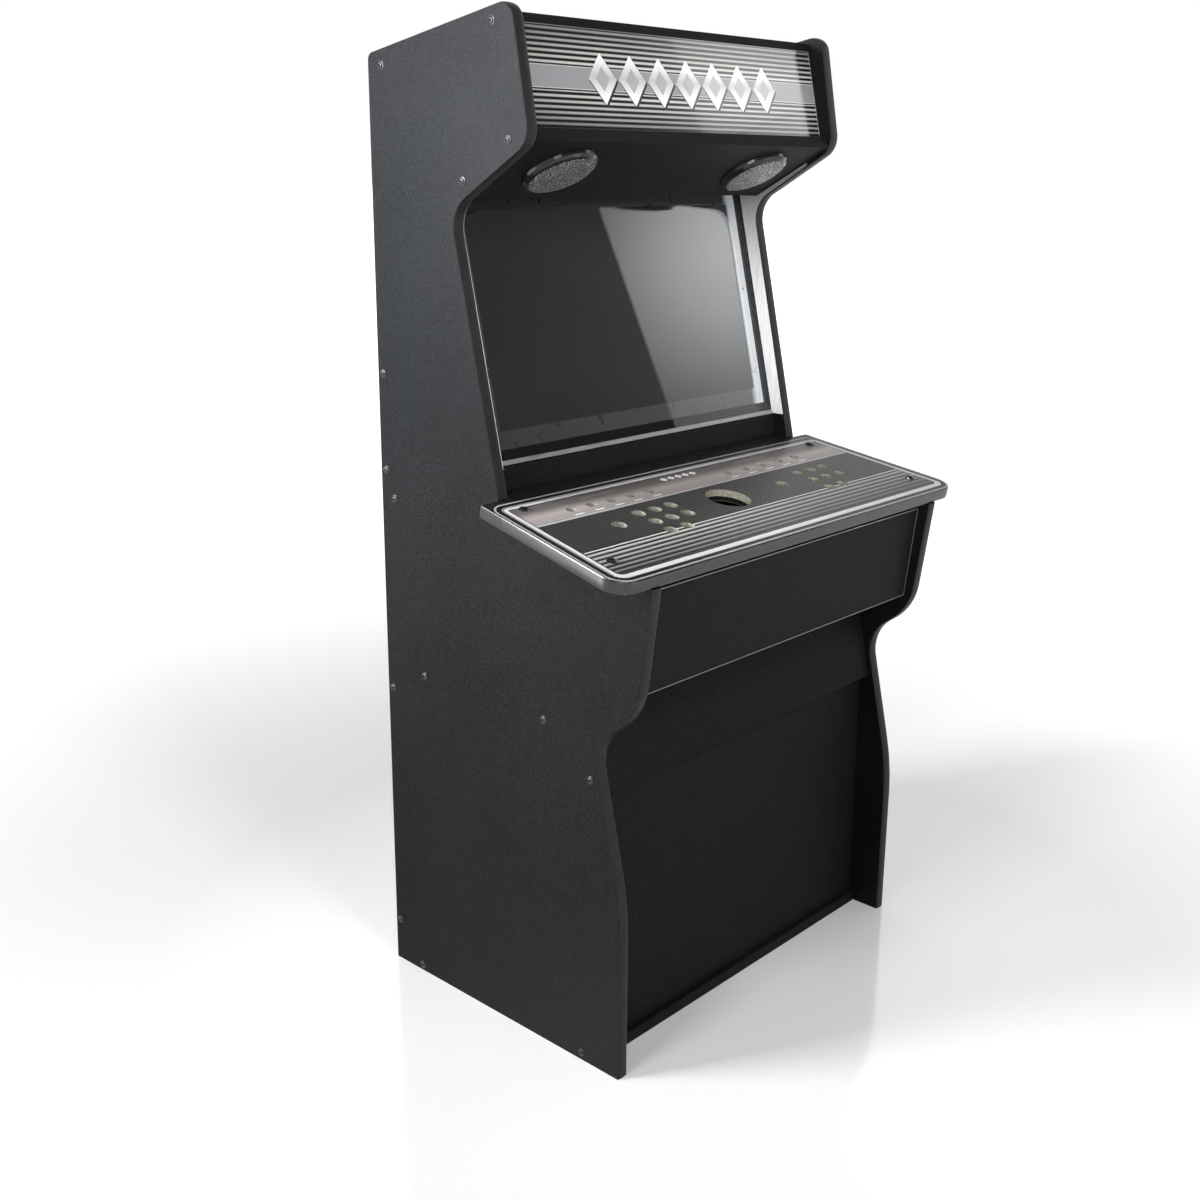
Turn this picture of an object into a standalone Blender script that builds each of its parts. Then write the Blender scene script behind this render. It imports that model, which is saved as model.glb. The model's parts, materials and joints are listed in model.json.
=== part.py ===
"""Arcade cabinet: side panels, edge moulding, control panel, screen, marquee, drawer and rear door.

Units are metres. X runs across the cabinet, Y from its front to its back, and Z up.
Profile points are (y, z) pairs, with y = 0 at the front edge of the side panels on the floor.
"""

from math import atan2, ceil, cos, hypot, pi, radians, sin, tan

import bmesh
import bpy
from mathutils import Matrix, Vector

# Boards and overall size
BOARD = 0.022
THIN_BOARD = 0.016
OUTER_HALF = 0.413
INNER_HALF = OUTER_HALF - BOARD
DEPTH = 0.588
GAP = 0.0003
PANEL_HALF = INNER_HALF - GAP
MOLDING = 0.002
TONGUE_DEPTH = 0.008
TONGUE_WIDTH = 0.0018
MIDDLE_Y = 0.26375

# Control panel: a plane that rises towards the back
PANEL_TILT = radians(10.0)
PANEL_FRONT = (-0.0608, 0.9060)
PANEL_DEPTH = 0.3456
PANEL_TONGUE = 0.3727
PANEL_FRONT_HALF = 0.4908
PANEL_REAR_HALF = 0.455
PANEL_CORNER = 0.042
BUTTON_RADIUS = 0.0128
BUTTON_PITCH = 0.042
ROW_PITCH = 0.039
ADMIN_RADIUS = 0.0095
ADMIN_ROW = 0.2625
STICK_RADIUS = 0.0138
BALL_RADIUS = 0.0415
BOLT_RADIUS = 0.004
BOLT_HEAD = 0.0095
REAR_BOLT = (OUTER_HALF - BOARD / 2, 0.2985)
FRONT_BOLT = (0.4285, 0.0737)

# Screen plane, from the bottom of the clear cover to its top
SCREEN_LOW = (0.3217, 1.0112)
SCREEN_LEAN = radians(13.5)
COVER_LENGTH = 0.462
COVER_THICKNESS = 0.005
SCREEN_HALF_WIDTH = 0.353
SCREEN_START = 0.0577
SCREEN_END = 0.4292

# Speaker panel, from its rear edge in front of the clear cover to the marquee
SPEAKER_BACK = (0.3815, 1.4455)
SPEAKER_FRONT = (0.2125, 1.5385)
SPEAKER_X = 0.2600
SPEAKER_FROM_FRONT = 0.0910
SPEAKER_HOLE = 0.056

# Drawer and rear door
DRAWER_LOW = (-0.0157, 0.693)
DRAWER_HIGH = (-0.0355, 0.873)
TRAY_HALF = 0.3765
TRAY_LOW = 0.700
TRAY_HIGH = 0.770
TRAY_FRONT = 0.0030
TRAY_BACK = 0.420
SLIDE_Z = 0.735
BACK_FACE = 0.5815
DOOR_LOW = 0.1068
DOOR_HIGH = 0.9235
DOOR_HALF = 0.3545
STILE_EDGE = 0.3570
HINGE_AXIS = (0.35575, BACK_FACE + 0.0036)
HINGE_HEIGHTS = (("upper", 0.800), ("lower", 0.230))
HINGE_HALF = 0.030
KNUCKLE_HALF = 0.010
KNUCKLE_RADIUS = 0.0032
LEAF_SHEET = 0.0012
LOCK = (-0.335, 0.520)
VENT_LOW = 1.4200
VENT_PITCH = 0.022
VENT_SLOTS = 6
CUT_REACH = 0.050
ROCKER_PIVOT = (BACK_FACE + 0.0010, 0.0580)
ROCKER_TILT = radians(8.0)

# Outline of a side panel: y, z and corner radius, clockwise from the bottom front corner
SIDE_CORNERS = (
    (0.0, 0.0, 0.0),
    (0.0, 0.321, 0.52),
    (0.0631, 0.596, 0.079),
    (-0.0302, 0.6666, 0.1145),
    (-0.0590, 0.8835, 0.0),
    (0.2843, 0.9441, 0.0),
    (0.2812, 0.9680, 0.0),
    (0.3867, 1.4272, 0.054),
    (0.2030, 1.5354, 0.042),
    (0.2417, 1.7435, 0.029),
    (DEPTH, 1.6755, 0.014),
    (DEPTH, 0.0, 0.0),
)
FRONT_EDGES = range(0, 4)
UPPER_EDGES = range(6, 11)

# Outline of the bright sheet on each side's inner face: y, z and corner radius
LINER_CORNERS = (
    (0.2948, 1.0135, 0.0),
    (0.3216, 1.0135, 0.0),
    (0.4232, 1.4441, 0.0),
    (0.3815, 1.4441, 0.0),
    (0.2620, 1.5098, 0.0),
    (0.2620, 1.5042, 0.0),
    (0.3901, 1.4287, 0.057),
)
LINER_SHEET = 0.0015


def clear_scene():
    for obj in list(bpy.data.objects):
        bpy.data.objects.remove(obj, do_unlink=True)


def make_material(name, colour, roughness, metallic=0.0):
    material = bpy.data.materials.new(name)
    material.use_nodes = True
    shader = material.node_tree.nodes["Principled BSDF"]
    shader.inputs["Base Color"].default_value = (*colour, 1.0)
    shader.inputs["Roughness"].default_value = roughness
    shader.inputs["Metallic"].default_value = metallic
    material.diffuse_color = (*colour, 1.0)
    return material


def make_materials():
    return {
        "laminate": make_material("black_laminate", (0.045, 0.046, 0.050), 0.62),
        "inner": make_material("inner_black_laminate", (0.020, 0.020, 0.021), 0.66),
        "molding": make_material("edge_molding", (0.055, 0.055, 0.055), 0.42),
        "gloss": make_material("gloss_molding", (0.030, 0.030, 0.033), 0.22),
        "print": make_material("printed_panel", (0.180, 0.175, 0.170), 0.40),
        "mdf": make_material("raw_board", (0.420, 0.340, 0.230), 0.85),
        "steel": make_material("plated_steel", (0.560, 0.560, 0.570), 0.35, 1.0),
        "black_steel": make_material("black_steel", (0.020, 0.020, 0.022), 0.35, 1.0),
        "aluminium": make_material("aluminium", (0.780, 0.780, 0.790), 0.30, 1.0),
        "clear": make_material("clear_acrylic", (0.300, 0.310, 0.320), 0.06),
        "screen": make_material("monitor_plastic", (0.030, 0.030, 0.032), 0.30),
        "bezel": make_material("bezel_grey", (0.110, 0.110, 0.115), 0.45),
        "liner": make_material("side_liner", (0.620, 0.620, 0.630), 0.35),
        "grille": make_material("grille_mesh", (0.050, 0.050, 0.052), 0.55, 0.6),
        "art": make_material("marquee_print", (0.330, 0.330, 0.335), 0.20),
        "lamp": make_material("lamp_diffuser", (0.850, 0.850, 0.830), 0.45),
        "plastic": make_material("black_plastic", (0.025, 0.025, 0.026), 0.45),
    }


def new_collection(name):
    collection = bpy.data.collections.new(name)
    bpy.context.scene.collection.children.link(collection)
    return collection


def place(obj, collection):
    for owner in list(obj.users_collection):
        owner.objects.unlink(obj)
    collection.objects.link(obj)
    return obj


def as_part(obj, name, material):
    obj.name = name
    obj.data.name = name
    obj.data.materials.clear()
    obj.data.materials.append(MATERIALS[material])
    return place(obj, PARTS)


def as_cutter(obj, name):
    obj.name = name
    obj.hide_render = True
    obj.display_type = "WIRE"
    return place(obj, CUTTERS)


def bevel(obj, width, segments=1):
    modifier = obj.modifiers.new("edges", "BEVEL")
    modifier.width = width
    modifier.segments = segments
    modifier.limit_method = "ANGLE"
    modifier.angle_limit = radians(40.0)
    return obj


def combine(obj, other, operation):
    modifier = obj.modifiers.new(other.name, "BOOLEAN")
    modifier.object = other
    modifier.operation = operation
    modifier.solver = "EXACT"
    return obj


def box(size, centre, tilt=0.0):
    bpy.ops.mesh.primitive_cube_add(size=1.0, location=centre, rotation=(tilt, 0.0, 0.0))
    obj = bpy.context.object
    obj.data.transform(Matrix.Diagonal((*size, 1.0)))
    return obj


def span_box(x, y, z):
    size = (x[1] - x[0], y[1] - y[0], z[1] - z[0])
    centre = ((x[0] + x[1]) / 2, (y[0] + y[1]) / 2, (z[0] + z[1]) / 2)
    return box(size, centre)


def slope(low, high):
    """Angle of the line low-high from the vertical, positive where it leans to the back."""
    return atan2(high[0] - low[0], high[1] - low[1])


def along(low, high, distance, behind=0.0):
    """Point at a distance along the line low-high, and a distance behind it."""
    lean = slope(low, high)
    return (
        low[0] + distance * sin(lean) + behind * cos(lean),
        low[1] + distance * cos(lean) - behind * sin(lean),
    )


def sloped_board(name, low, high, thickness, half_width, material):
    """Board whose front face runs from low to high in the profile plane."""
    length = hypot(high[0] - low[0], high[1] - low[1])
    y, z = along(low, high, length / 2, thickness / 2)
    obj = box((2 * half_width, thickness, length), (0.0, y, z), -slope(low, high))
    return bevel(as_part(obj, name, material), 0.0006)


def flat_shape(points, thickness, whole_faces=False):
    """Flat outline in the XY plane, thickened evenly along Z; whole faces suit a Boolean better."""
    curve = bpy.data.curves.new("outline", "CURVE")
    curve.dimensions = "2D"
    curve.fill_mode = "BOTH"
    curve.extrude = thickness / 2
    spline = curve.splines.new("POLY")
    spline.points.add(len(points) - 1)
    spline.use_cyclic_u = True
    for point, (x, y) in zip(spline.points, points):
        point.co = (x, y, 0.0, 1.0)
    source = bpy.data.objects.new("outline", curve)
    bpy.context.scene.collection.objects.link(source)
    bpy.context.view_layer.update()
    mesh = bpy.data.meshes.new_from_object(source)
    bpy.data.objects.remove(source, do_unlink=True)
    shape = bmesh.new()
    shape.from_mesh(mesh)
    bmesh.ops.remove_doubles(shape, verts=shape.verts, dist=0.00001)
    if whole_faces:
        bmesh.ops.dissolve_limit(shape, angle_limit=radians(0.1), verts=shape.verts, edges=shape.edges)
    bmesh.ops.recalc_face_normals(shape, faces=shape.faces)
    shape.to_mesh(mesh)
    shape.free()
    obj = bpy.data.objects.new("shape", mesh)
    bpy.context.scene.collection.objects.link(obj)
    return obj


def profile_shape(points, x, thickness, whole_faces=False):
    """Outline in the profile plane, thickened across the cabinet about x."""
    obj = flat_shape(points, thickness, whole_faces)
    obj.location.x = x
    obj.rotation_euler = (pi / 2, 0.0, pi / 2)
    return obj


def turned(profile, steps, name, material):
    """Solid turned about local Z from (radius, height) points."""
    mesh = bpy.data.meshes.new(name)
    shape = bmesh.new()
    verts = [shape.verts.new((radius, 0.0, height)) for radius, height in profile]
    for first, second in zip(verts, verts[1:]):
        shape.edges.new((first, second))
    if profile[0][0] > 0.0:
        shape.edges.new((verts[-1], verts[0]))
    shape.to_mesh(mesh)
    shape.free()
    obj = bpy.data.objects.new(name, mesh)
    bpy.context.scene.collection.objects.link(obj)
    screw = obj.modifiers.new("turn", "SCREW")
    screw.axis = "Z"
    screw.steps = steps
    screw.render_steps = steps
    screw.use_merge_vertices = True
    screw.merge_threshold = 0.00001
    return as_part(obj, name, material)


def cylinders(centres, radii, depth, sides):
    """One cutter object that holds an upright cylinder for every centre."""
    mesh = bpy.data.meshes.new("holes")
    shape = bmesh.new()
    for (x, y), radius, count in zip(centres, radii, sides):
        bmesh.ops.create_cone(shape, cap_ends=True, segments=count, radius1=radius, radius2=radius,
                              depth=depth, matrix=Matrix.Translation((x, y, 0.0)))
    shape.to_mesh(mesh)
    shape.free()
    obj = bpy.data.objects.new("holes", mesh)
    bpy.context.scene.collection.objects.link(obj)
    return obj


def turn_sign(corners):
    total = 0.0
    for (ax, ay, _), (bx, by, _) in zip(corners, corners[1:] + corners[:1]):
        total += ax * by - bx * ay
    return 1.0 if total > 0.0 else -1.0


def offset_corners(corners, distance, edges):
    """Move the named edges of an outline inwards and keep its corners rounded."""
    corners = list(corners)
    sign = turn_sign(corners)
    lines = []
    for index, (ax, ay, _) in enumerate(corners):
        bx, by, _ = corners[(index + 1) % len(corners)]
        length = hypot(bx - ax, by - ay)
        ux, uy = (bx - ax) / length, (by - ay) / length
        shift = distance if index in edges else 0.0
        lines.append((ax - sign * uy * shift, ay + sign * ux * shift, ux, uy, shift))
    moved = []
    for index, (_, _, radius) in enumerate(corners):
        px, py, ux, uy, before = lines[index - 1]
        qx, qy, vx, vy, after = lines[index]
        cross = ux * vy - uy * vx
        step = ((qx - px) * vy - (qy - py) * vx) / cross
        change = -distance if cross * sign > 0.0 else distance
        rounded = radius + change if radius > 0.0 and before and after else radius
        moved.append((px + step * ux, py + step * uy, max(rounded, 0.0)))
    return moved


def rounded_path(corners, closed=True, step=radians(9.0)):
    """Points along an outline whose corners are arcs."""
    points = []
    for index, (x, y, radius) in enumerate(corners):
        at_end = not closed and index in (0, len(corners) - 1)
        if radius <= 0.0 or at_end:
            points.append((x, y))
            continue
        ax, ay, _ = corners[index - 1]
        bx, by, _ = corners[(index + 1) % len(corners)]
        to_a = Vector((ax - x, ay - y)).normalized()
        to_b = Vector((bx - x, by - y)).normalized()
        turn = pi - to_a.angle(to_b)
        reach = radius * tan(turn / 2)
        middle = (to_a + to_b).normalized()
        centre = Vector((x, y)) + middle * hypot(reach, radius)
        start = Vector((x, y)) + to_a * reach - centre
        side = 1.0 if to_a.x * to_b.y - to_a.y * to_b.x < 0.0 else -1.0
        count = max(2, ceil(turn / step))
        for part in range(count + 1):
            angle = side * turn * part / count
            points.append((
                centre.x + start.x * cos(angle) - start.y * sin(angle),
                centre.y + start.x * sin(angle) + start.y * cos(angle),
            ))
    return points


def square_end(corner, neighbour, distance, extra, sign):
    """End of a strip, cut square: a distance in from the corner and extra beyond it."""
    along_edge = Vector((neighbour[0] - corner[0], neighbour[1] - corner[1])).normalized()
    inwards = Vector((-sign * along_edge.y, sign * along_edge.x))
    end = Vector(corner[:2]) - along_edge * extra + inwards * distance
    return (end.x, end.y, 0.0)


def strip_side(corners, edges, distance, extra):
    """Points along the named edges of an outline, a distance inside it."""
    first, last = edges[0], edges[-1] + 1
    sign = turn_sign(corners)
    moved = offset_corners(corners, distance, edges)[first:last + 1]
    moved[0] = square_end(corners[first], corners[first + 1], distance, extra, sign)
    moved[-1] = square_end(corners[last], corners[last - 1], distance, extra, -sign)
    return rounded_path(moved, closed=False)


def band(corners, edges, outer, inner, extra=0.0):
    """Strip between two offsets of an outline, along the named edges."""
    return strip_side(corners, edges, outer, extra) + strip_side(corners, edges, inner, extra)[::-1]


def panel_point(distance, height):
    """Profile point from a distance along the control panel and a height above its top."""
    return (
        PANEL_FRONT[0] + distance * cos(PANEL_TILT) - height * sin(PANEL_TILT),
        PANEL_FRONT[1] + distance * sin(PANEL_TILT) + height * cos(PANEL_TILT),
    )


def on_panel(obj, x, distance, height):
    y, z = panel_point(distance, height)
    obj.location = (x, y, z)
    obj.rotation_euler = (PANEL_TILT, 0.0, 0.0)
    return obj


def side_panel(side, x):
    corners = list(SIDE_CORNERS)
    board = offset_corners(corners, MOLDING + GAP, FRONT_EDGES)
    board = offset_corners(board, MOLDING + GAP, UPPER_EDGES)
    obj = as_part(profile_shape(rounded_path(board), x, BOARD, True), f"side_panel_{side}", "laminate")
    groove = MOLDING + TONGUE_DEPTH + 2 * GAP
    for label, edges in (("front", FRONT_EDGES), ("upper", UPPER_EDGES)):
        slot = profile_shape(band(corners, edges, 0.0, groove, 0.004), x, TONGUE_WIDTH + 2 * GAP, True)
        combine(obj, as_cutter(slot, f"groove_{label}_{side}"), "DIFFERENCE")
    bore = cylinders([(0.0, 0.0)], [BOLT_RADIUS + 0.0005], 0.090, [14])
    bolt_x = REAR_BOLT[0] if x > 0.0 else -REAR_BOLT[0]
    combine(obj, as_cutter(on_panel(bore, bolt_x, REAR_BOLT[1], -BOARD), f"bore_{side}"), "DIFFERENCE")


def edge_molding(side, x, label, edges):
    corners = list(SIDE_CORNERS)
    cap = as_part(profile_shape(band(corners, edges, 0.0, MOLDING), x, BOARD),
                  f"edge_molding_{label}_{side}", "molding")
    tongue = profile_shape(band(corners, edges, MOLDING / 2, MOLDING + TONGUE_DEPTH), x, TONGUE_WIDTH)
    combine(cap, as_cutter(tongue, f"tongue_{label}_{side}"), "UNION")


def sides():
    for side, x in (("left", -1.0), ("right", 1.0)):
        centre = x * (OUTER_HALF - BOARD / 2)
        side_panel(side, centre)
        edge_molding(side, centre, "front", FRONT_EDGES)
        edge_molding(side, centre, "upper", UPPER_EDGES)


def lower_body():
    base = span_box((-PANEL_HALF, PANEL_HALF), (0.059, 0.5625), (0.0, BOARD))
    bevel(as_part(base, "base_panel", "inner"), 0.0006)
    sloped_board("lower_front_panel", (0.0690, BOARD + GAP), (0.0750, 0.5010), BOARD, PANEL_HALF, "inner")
    sloped_board("waist_panel", (0.0553, 0.5062), (0.0890, 0.6735), BOARD, PANEL_HALF, "inner")
    shelf = span_box((-PANEL_HALF, PANEL_HALF), (0.1035, 0.5200), (0.598, 0.620))
    bevel(as_part(shelf, "internal_shelf", "inner"), 0.0006)
    floor = span_box((-PANEL_HALF, PANEL_HALF), (0.0240, 0.5000), (0.6740, 0.6900))
    bevel(as_part(floor, "drawer_bay_floor", "inner"), 0.0006)


def control_panel_corners():
    return [
        (-PANEL_REAR_HALF, PANEL_DEPTH, 0.0),
        (-PANEL_FRONT_HALF, 0.0, PANEL_CORNER),
        (PANEL_FRONT_HALF, 0.0, PANEL_CORNER),
        (PANEL_REAR_HALF, PANEL_DEPTH, 0.0),
        (PANEL_HALF - GAP, PANEL_DEPTH, 0.0),
        (PANEL_HALF - GAP, PANEL_TONGUE, 0.0),
        (-PANEL_HALF + GAP, PANEL_TONGUE, 0.0),
        (-PANEL_HALF + GAP, PANEL_DEPTH, 0.0),
    ]


def player_holes(first_button, stick, admin_middle, admin_pitch):
    """Centres, radii and side counts of one player's holes, in panel coordinates."""
    x, top = first_button
    rows = ((0.0, 3), (0.0, 3), (-0.005, 2))
    found = []
    for row, (shift, count) in enumerate(rows):
        for column in range(count):
            centre = (x + shift + column * BUTTON_PITCH, top - row * ROW_PITCH)
            found.append((centre, BUTTON_RADIUS, 20))
    found.append((stick, STICK_RADIUS, 24))
    for column in range(5):
        found.append(((admin_middle + (column - 2) * admin_pitch, ADMIN_ROW), ADMIN_RADIUS, 16))
    return found


def control_panel_holes():
    found = player_holes((-0.2325, 0.1970), (-0.3035, 0.1758), -0.2310, 0.0485)
    found += player_holes((0.2255, 0.1978), (0.1425, 0.1742), 0.1935, 0.0530)
    found.append(((-0.0200, 0.1726), BALL_RADIUS, 40))
    for sign in (-1.0, 1.0):
        for x, distance in (REAR_BOLT, FRONT_BOLT):
            found.append(((sign * x, distance), BOLT_RADIUS + GAP, 14))
    centres, radii, counts = zip(*found)
    return cylinders(centres, radii, 3 * BOARD, counts)


def control_panel():
    corners = control_panel_corners()
    edges = range(0, 3)
    groove = MOLDING + TONGUE_DEPTH + 2 * GAP
    board = flat_shape(rounded_path(offset_corners(corners, MOLDING + GAP, edges)), BOARD, True)
    board = as_part(on_panel(board, 0.0, 0.0, -BOARD / 2), "control_panel", "print")
    slot = flat_shape(band(corners, edges, 0.0, groove, 0.004), TONGUE_WIDTH + 2 * GAP, True)
    combine(board, as_cutter(on_panel(slot, 0.0, 0.0, -BOARD / 2), "panel_groove"), "DIFFERENCE")
    holes = on_panel(control_panel_holes(), 0.0, 0.0, -BOARD / 2)
    combine(board, as_cutter(holes, "panel_holes"), "DIFFERENCE")
    cap = flat_shape(band(corners, edges, 0.0, MOLDING), BOARD)
    cap = as_part(on_panel(cap, 0.0, 0.0, -BOARD / 2), "control_panel_molding", "gloss")
    tongue = flat_shape(band(corners, edges, MOLDING / 2, MOLDING + TONGUE_DEPTH), TONGUE_WIDTH)
    combine(cap, as_cutter(on_panel(tongue, 0.0, 0.0, -BOARD / 2), "panel_tongue"), "UNION")


def carriage_bolt(name, x, distance, length):
    head = BOLT_HEAD
    profile = [(0.0, 0.0048), (0.0035, 0.0045), (0.0065, 0.0034), (0.0085, 0.0018), (head, 0.0002)]
    profile += [(head, GAP / 2), (BOLT_RADIUS, GAP / 2), (BOLT_RADIUS, -length), (0.0, -length)]
    bolt = turned(profile, 16, name, "black_steel")
    on_panel(bolt, x, distance, GAP / 2)


def panel_supports():
    for side, sign in (("left", -1.0), ("right", 1.0)):
        carriage_bolt(f"panel_bolt_rear_{side}", sign * REAR_BOLT[0], REAR_BOLT[1], 0.058)
        carriage_bolt(f"panel_bolt_front_{side}", sign * FRONT_BOLT[0], FRONT_BOLT[1], 0.032)
        inner, outer, sheet, drop = OUTER_HALF + GAP, 0.446, 0.0025, 0.028
        leg = [(inner, 0.0), (outer, 0.0), (outer, -sheet), (inner + sheet, -sheet),
               (inner + sheet, -drop), (inner, -drop)]
        leg = [(sign * x, y) for x, y in leg]
        bracket = as_part(flat_shape(leg, 0.050, True), f"panel_bracket_{side}", "steel")
        on_panel(bracket, 0.0, FRONT_BOLT[1], -BOARD - GAP)
        bracket.rotation_euler = (PANEL_TILT + pi / 2, 0.0, 0.0)
        bore = cylinders([(0.0, 0.0)], [BOLT_RADIUS + GAP], 0.02, [14])
        on_panel(bore, sign * FRONT_BOLT[0], FRONT_BOLT[1], -BOARD)
        combine(bracket, as_cutter(bore, f"bracket_bore_{side}"), "DIFFERENCE")
    for label, distance in (("front", 0.071), ("rear", 0.346)):
        y, z = panel_point(distance, -BOARD - GAP - 0.0225)
        rail = box((2 * PANEL_HALF, BOARD, 0.045), (0.0, y, z), PANEL_TILT)
        bevel(as_part(rail, f"panel_rail_{label}", "inner"), 0.0006)


def screen_point(distance, behind=0.0):
    top = (SCREEN_LOW[0] + sin(SCREEN_LEAN), SCREEN_LOW[1] + cos(SCREEN_LEAN))
    return along(SCREEN_LOW, top, distance, behind)


def screen_board(name, start, end, front, thickness, half_width, material):
    """Sheet parallel to the clear cover, from a start to an end along it and a distance behind it."""
    return sloped_board(name, screen_point(start, front), screen_point(end, front), thickness,
                        half_width, material)


def screen_window(name, front, thickness):
    y, z = screen_point((SCREEN_START + SCREEN_END) / 2, front + thickness / 2)
    size = (2 * SCREEN_HALF_WIDTH, thickness, SCREEN_END - SCREEN_START)
    return as_cutter(box(size, (0.0, y, z), -SCREEN_LEAN), name)


def screen_parts():
    sloped_board("lower_screen_panel", (0.3112, 0.9250), (0.3170, 1.0108), BOARD, PANEL_HALF, "inner")
    screen_board("screen_cover", 0.0002, COVER_LENGTH, 0.0, COVER_THICKNESS, PANEL_HALF - 0.0005, "clear")
    screen_board("cover_retainer", 0.0004, 0.0090, -0.0030, 0.0025, INNER_HALF - 0.0035, "aluminium")
    bezel = screen_board("monitor_bezel", 0.0262, 0.4480, COVER_THICKNESS + 0.0006, 0.0030, 0.3760, "bezel")
    combine(bezel, screen_window("bezel_window", 0.0, 0.030), "DIFFERENCE")
    behind = COVER_THICKNESS + 0.0006 + 0.0030 + GAP
    screen_board("monitor", 0.0290, 0.4450, behind, 0.0480, 0.3735, "screen")
    screen_board("monitor_plate", 0.1400, 0.3400, behind + 0.0480 + GAP, 0.0025, 0.1500, "steel")
    for label, start in (("lower", 0.1100), ("upper", 0.3100)):
        screen_board(f"monitor_rail_{label}", start, start + 0.060, behind + 0.0505 + 2 * GAP, BOARD,
                     PANEL_HALF, "mdf")


def side_liners():
    points = rounded_path(LINER_CORNERS)
    for side, sign in (("left", -1.0), ("right", 1.0)):
        x = sign * (PANEL_HALF - LINER_SHEET / 2)
        as_part(profile_shape(points, x, LINER_SHEET), f"side_liner_{side}", "liner")


def upper_body():
    front, back = (0.2780, 1.7282), (0.5860, 1.6677)
    sloped_board("top_panel", front, back, BOARD, PANEL_HALF, "inner")
    sloped_board("marquee_panel", (0.2332, 1.5535), (0.2706, 1.7135), 0.0040, PANEL_HALF - 0.0005, "art")
    board = sloped_board("speaker_panel", SPEAKER_BACK, SPEAKER_FRONT, BOARD, PANEL_HALF, "inner")
    lean = slope(SPEAKER_BACK, SPEAKER_FRONT)
    reach = hypot(SPEAKER_BACK[0] - SPEAKER_FRONT[0], SPEAKER_BACK[1] - SPEAKER_FRONT[1])
    length = reach - SPEAKER_FROM_FRONT
    for side, x in (("left", -SPEAKER_X), ("right", SPEAKER_X)):
        hole = cylinders([(0.0, 0.0)], [SPEAKER_HOLE], 4 * BOARD, [32])
        face = along(SPEAKER_BACK, SPEAKER_FRONT, length)
        hole.location = (x, *face)
        hole.rotation_euler = (pi / 2 - lean, 0.0, 0.0)
        combine(board, as_cutter(hole, f"speaker_hole_{side}"), "DIFFERENCE")
        speaker(side, x, length, lean)
    lamp = along(front, back, 0.075, BOARD + GAP + 0.0125)
    batten = box((0.600, 0.030, 0.025), (0.0, *lamp), -slope(front, back) + pi / 2)
    bevel(as_part(batten, "marquee_lamp", "lamp"), 0.004, 2)


def speaker(side, x, length, lean):
    dome = [(0.0, 0.0150), (0.022, 0.0148), (0.044, 0.0141), (0.056, 0.0127), (0.062, 0.0100),
            (0.0655, 0.0055), (0.067, 0.0012), (0.067, 0.0), (0.0635, 0.0), (0.062, 0.0045),
            (0.058, 0.0085), (0.052, 0.0107), (0.042, 0.0118), (0.022, 0.0125), (0.0, 0.0127)]
    grille = turned(dome, 36, f"speaker_grille_{side}", "grille")
    grille.location = (x, *along(SPEAKER_BACK, SPEAKER_FRONT, length, -GAP))
    grille.rotation_euler = (pi / 2 - lean, 0.0, 0.0)
    cone = [(0.0, 0.056), (0.034, 0.056), (0.034, 0.036), (0.046, 0.028), (0.055, 0.0045), (0.064, 0.0035),
            (0.064, 0.0), (0.054, 0.0), (0.051, 0.0040), (0.018, 0.0180), (0.011, 0.0170), (0.0, 0.0160)]
    driver = turned(cone, 24, f"speaker_driver_{side}", "plastic")
    driver.location = (x, *along(SPEAKER_BACK, SPEAKER_FRONT, length, BOARD + GAP))
    driver.rotation_euler = (-pi / 2 - lean, 0.0, 0.0)


def channel(name, x, inward, size, length, material):
    """C-shaped steel channel along Y; inward is +1 or -1, the way its mouth faces."""
    depth, height, sheet = size
    half = height / 2
    shape = [(0.0, -half), (depth, -half), (depth, -half + sheet), (sheet, -half + sheet),
             (sheet, half - sheet), (depth, half - sheet), (depth, half), (0.0, half)]
    points = [(inward * across, up) for across, up in shape]
    obj = as_part(flat_shape(points, length), name, material)
    obj.location = (x, 0.220, SLIDE_Z)
    obj.rotation_euler = (pi / 2, 0.0, 0.0)
    return obj


def drawer():
    front = sloped_board("drawer_front", DRAWER_LOW, DRAWER_HIGH, 0.018, 0.3885, "inner")
    front.modifiers["edges"].width = 0.0015
    wall, floor = 0.012, 0.009
    tray = span_box((-TRAY_HALF, TRAY_HALF), (TRAY_FRONT, TRAY_BACK), (TRAY_LOW, TRAY_HIGH))
    as_part(tray, "drawer_tray", "plastic")
    space = span_box((-TRAY_HALF + wall, TRAY_HALF - wall), (TRAY_FRONT + wall, TRAY_BACK - wall),
                     (TRAY_LOW + floor, TRAY_HIGH + wall))
    combine(tray, as_cutter(space, "tray_space"), "DIFFERENCE")
    for side, sign in (("left", -1.0), ("right", 1.0)):
        channel(f"slide_outer_{side}", sign * PANEL_HALF, -sign, (0.0095, 0.040, 0.0012), 0.400, "steel")
        channel(f"slide_inner_{side}", sign * (TRAY_HALF + GAP), sign, (0.0115, 0.034, 0.0012), 0.400, "steel")


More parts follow.
